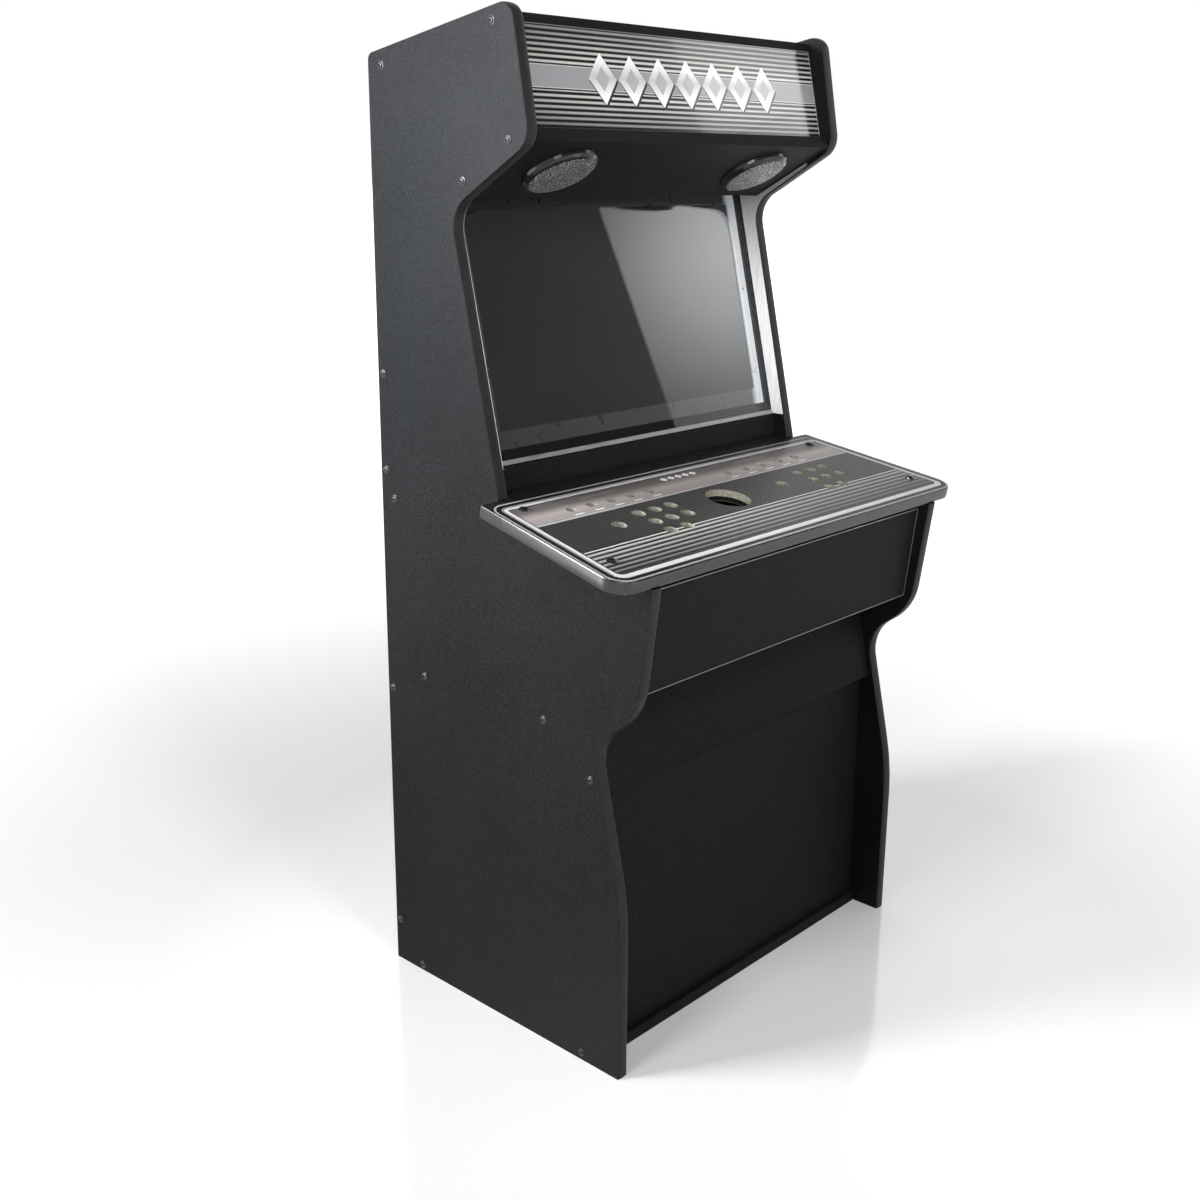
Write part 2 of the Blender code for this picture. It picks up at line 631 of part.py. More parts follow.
def rear_frame():
    board = (BACK_FACE - THIN_BOARD, BACK_FACE)
    through = (BACK_FACE - CUT_REACH, BACK_FACE + CUT_REACH)
    low_rail = as_part(span_box((-PANEL_HALF, PANEL_HALF), board, (0.0, 0.1050)), "rear_rail", "laminate")
    socket_hole = span_box((-0.0260, 0.0260), through, (0.0425, 0.0735))
    combine(low_rail, as_cutter(socket_hole, "socket_hole"), "DIFFERENCE")
    for side, sign in (("left", -1.0), ("right", 1.0)):
        edges = sorted((sign * STILE_EDGE, sign * PANEL_HALF))
        stile = span_box(edges, board, (0.1053, 0.9250))
        bevel(as_part(stile, f"rear_stile_{side}", "laminate"), 0.0006)
    upper = span_box((-PANEL_HALF, PANEL_HALF), board, (0.9253, 1.6440))
    as_part(upper, "back_panel_upper", "laminate")
    for index in range(VENT_SLOTS):
        height = VENT_LOW + VENT_PITCH * index
        slot = span_box((-0.080, 0.080), through, (height, height + 0.008))
        combine(upper, as_cutter(slot, f"vent_slot_{index}"), "DIFFERENCE")


def hinge_leaf(name, sign, bands, height):
    """Leaf plate on one side of the axis, with knuckles over the given bands of its height."""
    x, y = HINGE_AXIS
    face = BACK_FACE + GAP - y
    reach = sorted((sign * 0.0038, sign * 0.0300))
    plate = span_box(reach, (face, face + LEAF_SHEET), (-HINGE_HALF, HINGE_HALF))
    as_part(plate, name, "steel")
    plate.data.transform(Matrix.Translation(plate.location))
    plate.location = (x, y, height)
    for index, (low, high) in enumerate(bands):
        knuckle = cylinders([(0.0, 0.0)], [KNUCKLE_RADIUS], high - low, [14])
        knuckle.location = (x, y, height + (low + high) / 2)
        combine(plate, as_cutter(knuckle, f"{name}_knuckle_{index}"), "UNION")
        web = span_box(sorted((0.0, sign * 0.0050)), (face, face + LEAF_SHEET), (low, high))
        web.data.transform(Matrix.Translation(web.location))
        web.location = (x, y, height)
        combine(plate, as_cutter(web, f"{name}_web_{index}"), "UNION")


def rear_door():
    x, y = HINGE_AXIS
    door = span_box((-DOOR_HALF, DOOR_HALF), (BACK_FACE - THIN_BOARD, BACK_FACE), (DOOR_LOW, DOOR_HIGH))
    as_part(door, "rear_door", "laminate")
    door.data.transform(Matrix.Translation(door.location - Vector((x, y, 0.0))))
    door.location = (x, y, 0.0)
    hole = cylinders([(0.0, 0.0)], [0.0103], 0.08, [20])
    hole.location = (LOCK[0], BACK_FACE, LOCK[1])
    hole.rotation_euler = (pi / 2, 0.0, 0.0)
    combine(door, as_cutter(hole, "lock_hole"), "DIFFERENCE")
    bevel(door, 0.0006)
    start = KNUCKLE_HALF + 0.0005
    for label, height in HINGE_HEIGHTS:
        hinge_leaf(f"hinge_{label}_fixed", 1.0, ((-HINGE_HALF, -start), (start, HINGE_HALF)), height)
        hinge_leaf(f"hinge_{label}_moving", -1.0, ((-KNUCKLE_HALF, KNUCKLE_HALF),), height)
    lock_parts()


def lock_parts():
    ring = [(0.0070, 0.0030), (0.0130, 0.0030), (0.0130, 0.0003), (0.0100, 0.0003), (0.0100, -0.0240),
            (0.0070, -0.0240)]
    barrel = turned(ring, 20, "lock_barrel", "steel")
    plug_profile = [(0.0, 0.0034), (0.0052, 0.0034), (0.0066, 0.0026), (0.0066, -0.0290), (0.0, -0.0290)]
    plug = turned(plug_profile, 20, "lock_plug", "steel")
    cam = span_box((-0.0060, 0.0060), (-0.0300, 0.0040), (-0.0285, -0.0262))
    cam.data.transform(Matrix.Translation(cam.location))
    for obj in (barrel, plug, cam):
        obj.location = (LOCK[0], BACK_FACE, LOCK[1])
        obj.rotation_euler = (-pi / 2, 0.0, 0.0)
    cam.rotation_euler = (-pi / 2, pi, 0.0)
    combine(plug, as_cutter(cam, "lock_cam"), "UNION")


def power_socket():
    body = span_box((-0.0250, 0.0250), (BACK_FACE - 0.030, BACK_FACE + 0.0005), (0.0435, 0.0725))
    flange = span_box((-0.0310, 0.0310), (BACK_FACE + GAP, BACK_FACE + 0.0028), (0.0380, 0.0780))
    as_part(flange, "power_socket", "plastic")
    combine(flange, as_cutter(body, "socket_body"), "UNION")
    pocket = span_box((-0.0190, 0.0020), (BACK_FACE - 0.018, BACK_FACE + 0.010), (0.0500, 0.0660))
    combine(flange, as_cutter(pocket, "socket_pocket"), "DIFFERENCE")
    well = span_box((0.0070, 0.0230), (BACK_FACE - 0.014, BACK_FACE + 0.010), (0.0490, 0.0670))
    combine(flange, as_cutter(well, "switch_well"), "DIFFERENCE")
    rocker = span_box((0.0078, 0.0222), (-0.0080, 0.0016), (-0.0070, 0.0070))
    as_part(rocker, "power_rocker", "plastic")
    rocker.data.transform(Matrix.Translation(rocker.location))
    rocker.location = (0.0, *ROCKER_PIVOT)
    rocker.rotation_euler.x = ROCKER_TILT
    bevel(rocker, 0.0008)


def centre_depth():
    """Put the middle of the cabinet's depth on the origin."""
    for obj in list(PARTS.objects) + list(CUTTERS.objects):
        obj.location.y -= MIDDLE_Y


clear_scene()
MATERIALS = make_materials()
PARTS = new_collection("arcade_cabinet")
CUTTERS = new_collection("cutters")
sides()
lower_body()
control_panel()
panel_supports()
screen_parts()
side_liners()
upper_body()
drawer()
rear_frame()
rear_door()
power_socket()
centre_depth()
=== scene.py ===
"""Looks for the arcade cabinet: materials, prints, edge moulding, fasteners, stage, lights, camera."""

import json
from math import atan2, ceil, cos, hypot, pi, radians, sin, tan

import bmesh
import bpy
from mathutils import Matrix, Vector


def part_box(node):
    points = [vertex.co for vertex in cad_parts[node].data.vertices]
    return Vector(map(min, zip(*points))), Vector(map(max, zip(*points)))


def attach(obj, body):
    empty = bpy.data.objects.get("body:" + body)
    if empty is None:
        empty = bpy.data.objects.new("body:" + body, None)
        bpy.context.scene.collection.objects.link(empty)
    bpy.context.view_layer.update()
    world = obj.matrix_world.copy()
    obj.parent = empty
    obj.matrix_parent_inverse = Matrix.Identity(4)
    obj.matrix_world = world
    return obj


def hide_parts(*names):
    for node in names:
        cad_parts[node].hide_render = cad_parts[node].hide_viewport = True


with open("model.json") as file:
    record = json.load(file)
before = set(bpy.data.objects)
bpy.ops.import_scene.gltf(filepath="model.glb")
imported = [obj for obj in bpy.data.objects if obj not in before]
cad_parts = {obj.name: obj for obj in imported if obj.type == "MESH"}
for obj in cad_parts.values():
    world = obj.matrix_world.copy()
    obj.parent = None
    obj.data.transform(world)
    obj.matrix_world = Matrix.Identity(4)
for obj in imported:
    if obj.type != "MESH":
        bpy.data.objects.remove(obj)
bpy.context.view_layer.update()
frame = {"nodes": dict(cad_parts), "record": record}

NODES = frame["nodes"]

# Control panel: its top plane starts at its front edge and rises towards the back
PANEL_TILT = radians(10.0)
PANEL_THICKNESS = 0.022
PANEL_DEPTH = 0.3456
PANEL_FRONT_HALF = 0.4908
PANEL_REAR_HALF = 0.455
PANEL_CORNER = 0.042
PANEL_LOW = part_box("control_panel_molding")[0]
PANEL_Y = PANEL_LOW.y
PANEL_Z = PANEL_LOW.z + PANEL_THICKNESS * cos(PANEL_TILT)
REAR_OUTLINE = 0.009
MENU_ROWS = ((-0.231, 0.0485), (0.1935, 0.053))
MENU_DISTANCE = 0.235
STICK_HOLES = ((-0.3035, 0.1758), (0.1425, 0.1742))

# Outline of a side panel: depth behind its front bottom corner, height and corner radius
SIDE_CORNERS = (
    (0.0, 0.0, 0.0),
    (0.0, 0.321, 0.52),
    (0.0631, 0.596, 0.079),
    (-0.0302, 0.6666, 0.1145),
    (-0.0590, 0.8835, 0.0),
    (0.2843, 0.9441, 0.0),
    (0.2812, 0.9680, 0.0),
    (0.3867, 1.4272, 0.054),
    (0.2030, 1.5354, 0.042),
    (0.2417, 1.7435, 0.029),
    (0.588, 1.6755, 0.014),
    (0.588, 0.0, 0.0),
)
SIDE_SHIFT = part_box("edge_molding_upper_left")[1].y - SIDE_CORNERS[10][0]
BOARD = 0.022

# Edge moulding: turn between two points of its arcs, height of its crown, and how far that stays
# inside the CAD moulding
ARC_STEP = radians(6.0)
CROWN = 0.0019
CROWN_INSET = 0.00015

# Speaker panel: depth and height of its ends on the sides' own outline, and its angle to the floor
SPEAKER_FRONT, SPEAKER_BACK = (0.2125, 1.5385), (0.3815, 1.4455)
SPEAKER_LEAN = atan2(SPEAKER_FRONT[1] - SPEAKER_BACK[1], SPEAKER_BACK[0] - SPEAKER_FRONT[0])

# Speaker grilles: radius of the mesh, their foot behind their middle, their screws, and the rim's bead
MESH_RADIUS = 0.0580
GRILLE_MIDDLE = 0.0074
GRILLE_SCREWS = 0.0595
GRILLE_SCREW_LIFT = 0.0106
GRILLE_SCREW_SIZE = (0.0032, 0.0020)
BEAD_RADIUS = 0.0655
BEAD_HALF = 0.0017
BEAD_BASE = 0.0014
BEAD_RISE = 0.0030

# Drawer front: how far its face leans forward over its height, and the width and inset of the pale line
# round its face, which is a painted highlight on its edges
DRAWER_LEAN = 0.0198
DRAWER_HEIGHT = 0.180
HIGHLIGHT_LINE = 0.0016
EDGE_INSET = 0.0006

# Hinge leaf's face below its knuckles, and where its screws stand
HINGE_STEP = 0.0053
HINGE_SCREW_IN = 0.0110
HINGE_SCREW_HEIGHTS = (-0.021, 0.0, 0.021)
HINGE_SCREW_RADIUS = 0.0034

# Lock: half the width and half the height of its key slot
KEY_SLOT = (0.0005, 0.0034)

# Mains inlet: half the width and half the height of a pin, the pins' places across and up, how far behind
# the inlet's face they start and end, and the radius and inset of its two screws
PIN_HALF = (0.0012, 0.0020)
PIN_ENDS = (0.0180, 0.0050)
INLET_PINS = ((-0.0145, 0.0565), (-0.0025, 0.0565), (-0.0085, 0.0600))
INLET_SCREW_RADIUS = 0.0022
INLET_SCREW_IN = 0.0030

BACKWARDS = (0.0, 1.0, 0.0)

# Domed fasteners on the outer faces of the sides: radius and height of their heads, then the depth and
# height of each on the outline's own scale
SIDE_BOLT_SIZE = (0.0072, 0.0034)
SIDE_BOLTS = (
    (0.552, 1.655), (0.284, 1.712), (0.251, 1.538), (0.357, 1.475), (0.573, 1.146), (0.573, 0.975),
    (0.552, 0.925), (0.573, 0.564), (0.482, 0.609), (0.178, 0.609), (0.069, 0.533), (0.573, 0.085),
    (0.510, 0.012), (0.087, 0.015),
)

# Standing cards: where their row crosses the middle, its direction across, and their hot spot's reach
CARD_REACH = 0.75
CARD_FOOT = Vector((2.28, -1.95, 0.0))
CARD_ACROSS = Vector((-0.65, -0.76, 0.0))


class Graph:
    """Short calls that build one material's nodes."""

    def __init__(self, name, **sockets):
        self.material = bpy.data.materials.new(name)
        self.material.use_nodes = True
        self.tree = self.material.node_tree
        self.shader = self.tree.nodes["Principled BSDF"]
        for socket, value in sockets.items():
            self.shader.inputs[socket.replace("_", " ")].default_value = value

    def feed(self, socket, value):
        if isinstance(value, bpy.types.NodeSocket):
            self.tree.links.new(value, socket)
        else:
            socket.default_value = value

    def set(self, socket, value):
        self.feed(self.shader.inputs[socket], value)

    def place(self):
        return self.tree.nodes.new("ShaderNodeTexCoord").outputs["Object"]

    def axes(self):
        split = self.tree.nodes.new("ShaderNodeSeparateXYZ")
        self.tree.links.new(self.place(), split.inputs[0])
        return split.outputs

    def join(self, x, y, z):
        node = self.tree.nodes.new("ShaderNodeCombineXYZ")
        for socket, value in zip(node.inputs, (x, y, z)):
            self.feed(socket, value)
        return node.outputs[0]

    def math(self, operation, first, second=0.0):
        node = self.tree.nodes.new("ShaderNodeMath")
        node.operation = operation
        self.feed(node.inputs[0], first)
        self.feed(node.inputs[1], second)
        return node.outputs[0]

    def scaled(self, value, low, high, start=0.0, end=1.0):
        """Value from low..high mapped to start..end, held at its ends."""
        node = self.tree.nodes.new("ShaderNodeMapRange")
        for socket, number in zip(node.inputs, (value, low, high, start, end)):
            self.feed(socket, number)
        return node.outputs[0]

    def inside(self, value, low, high):
        above = self.math("GREATER_THAN", value, low)
        return self.math("MULTIPLY", above, self.math("LESS_THAN", value, high))

    def both(self, first, second):
        return self.math("MULTIPLY", first, second)

    def colour(self, factor, first, second):
        node = self.tree.nodes.new("ShaderNodeMix")
        node.data_type = "RGBA"
        self.feed(node.inputs[0], factor)
        for socket, value in ((node.inputs[6], first), (node.inputs[7], second)):
            self.feed(socket, value if isinstance(value, bpy.types.NodeSocket) else (*value, 1.0))
        return node.outputs[2]

    def noise(self, scale, detail, vector=None):
        node = self.tree.nodes.new("ShaderNodeTexNoise")
        node.inputs["Scale"].default_value = scale
        node.inputs["Detail"].default_value = detail
        self.tree.links.new(vector or self.place(), node.inputs["Vector"])
        return node.outputs["Fac"]

    def cells(self, scale):
        node = self.tree.nodes.new("ShaderNodeTexVoronoi")
        node.inputs["Scale"].default_value = scale
        self.tree.links.new(self.place(), node.inputs["Vector"])
        return node.outputs["Distance"]

    def bump(self, height, distance, strength):
        node = self.tree.nodes.new("ShaderNodeBump")
        node.inputs["Distance"].default_value = distance
        node.inputs["Strength"].default_value = strength
        self.tree.links.new(height, node.inputs["Height"])
        self.tree.links.new(node.outputs[0], self.shader.inputs["Normal"])


def grey(value, warmth=0.0):
    return (value * (1.0 + warmth), value, value * (1.0 - warmth))


# ---------------------------------------------------------------- materials


def laminate(name, dark, light, roughness, **sockets):
    """Textured board laminate: a fine pebble grain with slow, faint clouds of tone."""
    graph = Graph(name, **sockets)
    fine = graph.noise(430.0, 3.0)
    pebble = graph.cells(344.0)
    clouds = graph.noise(5.0, 3.0)
    drift = graph.scaled(clouds, 0.35, 0.65, -0.12, 0.12)
    tone = graph.math("ADD", graph.scaled(fine, 0.38, 0.64), drift)
    graph.set("Base Color", graph.colour(tone, dark, light))
    graph.set("Roughness", graph.scaled(clouds, 0.3, 0.7, roughness - 0.05, roughness + 0.05))
    graph.bump(graph.math("ADD", fine, pebble), 0.00018, 0.7)
    return graph.material


def moulded(name, tone, roughness, grain=900.0, depth=0.00006, **sockets):
    """Moulded plastic with a very fine skin and a little unevenness in its gloss."""
    graph = Graph(name, **sockets)
    skin = graph.noise(grain, 2.0)
    patches = graph.noise(14.0, 3.0)
    low = tuple(channel * 0.82 for channel in tone)
    graph.set("Base Color", graph.colour(graph.scaled(patches, 0.3, 0.7), low, tone))
    graph.set("Roughness", graph.scaled(patches, 0.3, 0.7, roughness - 0.05, roughness + 0.06))
    graph.bump(skin, depth, 0.5)
    return graph.material


def metal(name, tone, roughness, stretch=(1.0, 1.0, 1.0), **sockets):
    """Metal with fine drawn lines along the short axes of stretch."""
    graph = Graph(name, **{"Metallic": 1.0, **sockets})
    x, y, z = graph.axes()
    vector = graph.join(*(graph.math("MULTIPLY", axis, part) for axis, part in zip((x, y, z), stretch)))
    lines = graph.noise(520.0, 2.0, vector)
    stains = graph.noise(22.0, 4.0)
    low = tuple(channel * 0.72 for channel in tone)
    graph.set("Base Color", graph.colour(graph.scaled(lines, 0.3, 0.7), low, tone))
    graph.set("Roughness", graph.scaled(stains, 0.3, 0.7, roughness - 0.07, roughness + 0.1))
    graph.bump(lines, 0.00004, 0.5)
    return graph.material


def fibreboard(graph):
    """Colour of a cut board edge: pale grey-brown fibres with darker specks."""
    fibres = graph.noise(900.0, 4.0)
    specks = graph.noise(420.0, 2.0)
    base = graph.colour(graph.scaled(fibres, 0.3, 0.7), (0.120, 0.112, 0.088), (0.340, 0.325, 0.270))
    return graph.colour(graph.scaled(specks, 0.56, 0.68), base, (0.060, 0.054, 0.040))


def raw_board(name):
    graph = Graph(name, Roughness=0.85)
    graph.set("Base Color", fibreboard(graph))
    graph.bump(graph.noise(700.0, 4.0), 0.0002, 0.6)
    return graph.material


def panel_axes(graph):
    """Across, along and above the control panel's top, from its front edge."""
    x, y, z = graph.axes()
    back = graph.math("SUBTRACT", y, PANEL_Y)
    up = graph.math("SUBTRACT", z, PANEL_Z)
    along = graph.math("ADD", graph.math("MULTIPLY", back, cos(PANEL_TILT)),
                       graph.math("MULTIPLY", up, sin(PANEL_TILT)))
    above = graph.math("SUBTRACT", graph.math("MULTIPLY", up, cos(PANEL_TILT)),
                       graph.math("MULTIPLY", back, sin(PANEL_TILT)))
    return x, along, above


def panel_inset(graph, x, along):
    """Distance in from the panel's rounded outline, up to its corner radius."""
    taper = (PANEL_REAR_HALF - PANEL_FRONT_HALF) / PANEL_DEPTH
    half = graph.math("ADD", graph.math("MULTIPLY", along, taper), PANEL_FRONT_HALF)
    side = graph.math("SUBTRACT", half, graph.math("ABSOLUTE", x))
    rear = graph.math("SUBTRACT", PANEL_DEPTH - REAR_OUTLINE, along)
    end = graph.math("MINIMUM", along, rear)
    radius = graph.scaled(along, PANEL_DEPTH * 0.4, PANEL_DEPTH * 0.6, PANEL_CORNER, 0.032)
    short = [graph.math("MAXIMUM", graph.math("SUBTRACT", radius, gap), 0.0) for gap in (side, end)]
    square = graph.math("ADD", graph.math("MULTIPLY", short[0], short[0]),
                        graph.math("MULTIPLY", short[1], short[1]))
    return graph.math("SUBTRACT", radius, graph.math("SQRT", square))


def diamond(graph, across, up, half_width, half_height):
    """1 inside a diamond, from its middle's own coordinates."""
    sides = graph.math("ADD", graph.math("DIVIDE", graph.math("ABSOLUTE", across), half_width),
                       graph.math("DIVIDE", graph.math("ABSOLUTE", up), half_height))
    return graph.math("LESS_THAN", sides, 1.0)


def repeated(graph, value, pitch):
    """Coordinate from the middle of the nearest of a row of places."""
    count = graph.math("ROUND", graph.math("DIVIDE", value, pitch))
    return graph.math("SUBTRACT", value, graph.math("MULTIPLY", count, pitch))


def ribs(graph, value, pitch, dark, light):
    """Printed ribs: each brightens across its width and ends at a dark line."""
    part = graph.math("FRACT", graph.math("DIVIDE", value, pitch))
    rise = graph.scaled(part, 0.12, 0.62)
    fall = graph.scaled(part, 0.74, 0.86, 1.0, 0.0)
    return graph.colour(graph.both(fall, rise), dark, light)


def woven(graph, x, along):
    """Printed twill weave."""
    pitch = 0.0062
    step = graph.math("FLOOR", graph.math("DIVIDE", along, pitch))
    shifted = graph.math("ADD", x, graph.math("MULTIPLY", step, pitch * 0.5))
    strand = graph.math("FRACT", graph.math("DIVIDE", shifted, pitch * 2.0))
    lay = graph.math("FRACT", graph.math("DIVIDE", along, pitch))
    over = graph.math("GREATER_THAN", strand, 0.5)
    shade = graph.math("ADD", graph.math("MULTIPLY", over, 0.55), graph.math("MULTIPLY", lay, 0.45))
    return graph.colour(graph.math("POWER", shade, 1.6), grey(0.006), grey(0.052, 0.04))


def panel_rear_band(graph, x, along):
    """Brushed strip across the back of the print, with a soft sheen along it."""
    vector = graph.join(graph.math("MULTIPLY", x, 0.05), along, 0.0)
    brush = graph.noise(700.0, 3.0, vector)
    rise = graph.scaled(along, 0.248, 0.262, 0.7, 1.0)
    sheen = graph.both(rise, graph.scaled(along, 0.262, 0.284, 1.0, 0.0))
    base = graph.colour(sheen, (0.085, 0.075, 0.071), (0.290, 0.256, 0.245))
    fade = graph.scaled(along, 0.284, 0.306)
    base = graph.colour(fade, base, (0.058, 0.052, 0.050))
    return graph.colour(graph.scaled(brush, 0.35, 0.65, 0.0, 0.22), base, (0.180, 0.165, 0.160))


def menu_marks(graph, x, along, colour):
    """Plain dashes in front of each row of small holes, and a faint bar behind it."""
    for middle, pitch in MENU_ROWS:
        local = graph.math("SUBTRACT", x, middle)
        near = repeated(graph, local, pitch)
        within = graph.inside(local, -2.5 * pitch, 2.5 * pitch)
        dash = graph.both(graph.inside(near, -0.0110, 0.0110), graph.inside(along, 0.2403, 0.2425))
        colour = graph.colour(graph.both(dash, within), colour, grey(0.720))
        bars = graph.both(graph.inside(repeated(graph, local, 0.012), -0.0045, 0.0045),
                          graph.inside(along, 0.2905, 0.2950))
        short = graph.both(bars, graph.inside(local, -0.048, 0.048))
        colour = graph.colour(graph.math("MULTIPLY", short, 0.4), colour, grey(0.260))
    local = graph.math("ADD", x, 0.020)
    height = graph.math("SUBTRACT", along, 0.2915)
    mark = diamond(graph, repeated(graph, local, 0.0200), height, 0.0088, 0.0075)
    return graph.colour(graph.both(mark, graph.inside(local, -0.050, 0.050)), colour, grey(0.620))


def hole_walls(graph, x, along, above):
    """Cut board edge inside the panel's holes, with painted shade that turns it black below a depth set
    for each kind of hole.
    """
    depth = graph.scaled(graph.math("GREATER_THAN", along, MENU_DISTANCE), 0.0, 1.0, 0.0132, 0.0070)
    for hole_x, hole_along in STICK_HOLES:
        gap = graph.math("ADD", graph.math("ABSOLUTE", graph.math("SUBTRACT", x, hole_x)),
                         graph.math("ABSOLUTE", graph.math("SUBTRACT", along, hole_along)))
        near = graph.math("LESS_THAN", gap, 0.024)
        depth = graph.math("SUBTRACT", depth, graph.math("MULTIPLY", near, 0.0036))
    # Painted shade: below this depth the wall is coloured black, as shade deep inside the hole.
    upper = graph.math("GREATER_THAN", graph.math("ADD", above, depth), 0.0)
    return graph.colour(upper, grey(0.004), fibreboard(graph))


def panel_print():
    """Printed top of the control panel over a raw board: generic stripes, weave and outlines."""
    graph = Graph("control_panel_print", Specular_IOR_Level=0.16)
    x, along, above = panel_axes(graph)
    inset = panel_inset(graph, x, along)
    level = graph.both(graph.scaled(along, 0.030, 0.105, 0.10, 1.0), graph.scaled(x, 0.0, 0.46, 1.0, 0.7))
    first = graph.math("SUBTRACT", along, 0.0355)
    stripes = ribs(graph, first, 0.0126, grey(0.006), grey(0.340, 0.04))
    colour = graph.colour(graph.math("POWER", level, 0.8), grey(0.008), stripes)
    colour = graph.colour(graph.math("GREATER_THAN", along, 0.1110), colour, grey(0.005))
    colour = graph.colour(graph.inside(along, 0.1142, 0.1178), colour, grey(0.400, 0.03))
    colour = graph.colour(graph.math("GREATER_THAN", along, 0.1215), colour, woven(graph, x, along))
    colour = graph.colour(graph.math("GREATER_THAN", along, 0.2300), colour, grey(0.300, 0.04))
    colour = graph.colour(graph.math("GREATER_THAN", along, 0.2352), colour, grey(0.140, 0.04))
    band = panel_rear_band(graph, x, along)
    colour = graph.colour(graph.math("GREATER_THAN", along, 0.2375), colour, band)
    colour = menu_marks(graph, x, along, colour)
    colour = graph.colour(graph.math("LESS_THAN", inset, 0.0310), colour, grey(0.006))
    rear = graph.math("GREATER_THAN", along, PANEL_DEPTH * 0.9)
    front = graph.math("LESS_THAN", along, PANEL_DEPTH * 0.1)
    tone = graph.colour(rear, grey(0.430), grey(0.330, 0.03))
    colour = graph.colour(graph.inside(inset, 0.0215, 0.0285), colour, tone)
    tone = graph.colour(front, grey(0.170, 0.02), grey(0.400))
    colour = graph.colour(graph.inside(inset, 0.0170, 0.0215), colour, tone)
    colour = graph.colour(graph.inside(inset, 0.0040, 0.0080), colour, grey(0.240))
    printed = graph.math("GREATER_THAN", above, -0.0004)
    underside = graph.math("LESS_THAN", above, -PANEL_THICKNESS + 0.0004)
    wall = graph.colour(underside, hole_walls(graph, x, along, above), fibreboard(graph))
    graph.set("Base Color", graph.colour(printed, wall, colour))
    graph.set("Roughness", graph.scaled(printed, 0.0, 1.0, 0.8, 0.34))
    graph.bump(graph.noise(600.0, 2.0), 0.00005, 0.35)
    return graph.material


def marquee_print():
    """Marquee panel: generic ribs, a grey band and a row of plain silver diamonds."""
    graph = Graph("marquee_print", Roughness=0.16, Specular_IOR_Level=0.6, Coat_Weight=0.4)
    low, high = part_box("marquee_panel")
    x, _, z = graph.axes()
    up = graph.math("DIVIDE", graph.math("SUBTRACT", z, low.z), high.z - low.z)
    level = graph.both(graph.scaled(x, -0.40, -0.20, 0.70, 1.0), graph.scaled(x, 0.15, 0.40, 1.0, 0.80))
    away = graph.math("ABSOLUTE", graph.math("SUBTRACT", up, 0.513))
    level = graph.both(level, graph.scaled(away, 0.11, 0.50, 1.0, 0.30))
    part = graph.math("FRACT", graph.math("DIVIDE", graph.math("ADD", up, 0.0060), 0.0526))
    middle = graph.math("ABSOLUTE", graph.math("SUBTRACT", part, 0.5))
    line = graph.scaled(middle, 0.14, 0.30, 1.0, 0.0)
    colour = graph.colour(graph.both(level, line), grey(0.004), grey(0.480, 0.04))
    colour = graph.colour(graph.inside(up, 0.388, 0.638), colour, grey(0.004))
    colour = graph.colour(graph.inside(up, 0.402, 0.624), colour, grey(0.420))
    band = graph.colour(graph.scaled(x, -0.38, 0.10), grey(0.240, -0.03), grey(0.200, -0.03))
    colour = graph.colour(graph.inside(up, 0.410, 0.616), colour, band)
    centred = graph.math("SUBTRACT", x, 0.016)
    near = repeated(graph, centred, 0.072)
    within = graph.inside(centred, -0.252, 0.252)
    height = graph.math("SUBTRACT", up, 0.520)
    beside, below = graph.math("SUBTRACT", near, 0.002), graph.math("ADD", height, 0.020)
    shade = diamond(graph, beside, below, 0.0350, 0.260)
    colour = graph.colour(graph.both(shade, within), colour, grey(0.030))
    face = diamond(graph, near, height, 0.0335, 0.250)
    silver = graph.colour(graph.scaled(height, -0.20, 0.02), grey(0.720), grey(0.380))
    silver = graph.colour(graph.scaled(height, 0.02, 0.20), silver, grey(0.680))
    colour = graph.colour(graph.both(face, within), colour, silver)
    hollow = diamond(graph, near, height, 0.0165, 0.123)
    colour = graph.colour(graph.both(hollow, within), colour, grey(0.300, -0.03))
    colour = graph.colour(graph.inside(x, -0.3880, 0.3880), grey(0.300), colour)
    colour = graph.colour(graph.math("LESS_THAN", up, 0.992), grey(0.150), colour)
    graph.set("Base Color", colour)
    graph.bump(graph.noise(9.0, 1.0), 0.0004, 0.15)
    return graph.material


def clear_cover():
    """Clear acrylic sheet: it passes what is behind it and mirrors more at a glancing angle."""
    graph = Graph("clear_cover", Metallic=1.0)
    nodes, links = graph.tree.nodes, graph.tree.links
    smear = graph.noise(3.0, 2.0)
    graph.set("Base Color", graph.colour(smear, grey(0.90), grey(0.98)))
    graph.set("Roughness", graph.scaled(smear, 0.3, 0.7, 0.004, 0.012))
    through = nodes.new("ShaderNodeBsdfTransparent")
    through.inputs["Color"].default_value = (0.94, 0.95, 0.96, 1.0)
    facing = nodes.new("ShaderNodeLayerWeight").outputs["Facing"]
    mirror = graph.math("ADD", graph.math("MULTIPLY", graph.math("POWER", facing, 4.0), 0.96), 0.04)
    mix = nodes.new("ShaderNodeMixShader")
    links.new(mirror, mix.inputs[0])
    links.new(through.outputs[0], mix.inputs[1])
    links.new(graph.shader.outputs[0], mix.inputs[2])
    links.new(mix.outputs[0], nodes["Material Output"].inputs["Surface"])
    return graph.material


def screen_glass():
    """The monitor's dark, faintly uneven front."""
    graph = Graph("screen_glass", Specular_IOR_Level=0.12)
    cloud = graph.noise(3.0, 2.0)
    graph.set("Base Color", graph.colour(graph.scaled(cloud, 0.3, 0.7), grey(0.011), grey(0.016)))
    graph.set("Roughness", graph.scaled(graph.noise(40.0, 2.0), 0.3, 0.7, 0.34, 0.40))
    graph.bump(graph.noise(900.0, 1.0), 0.000004, 0.2)
    return graph.material


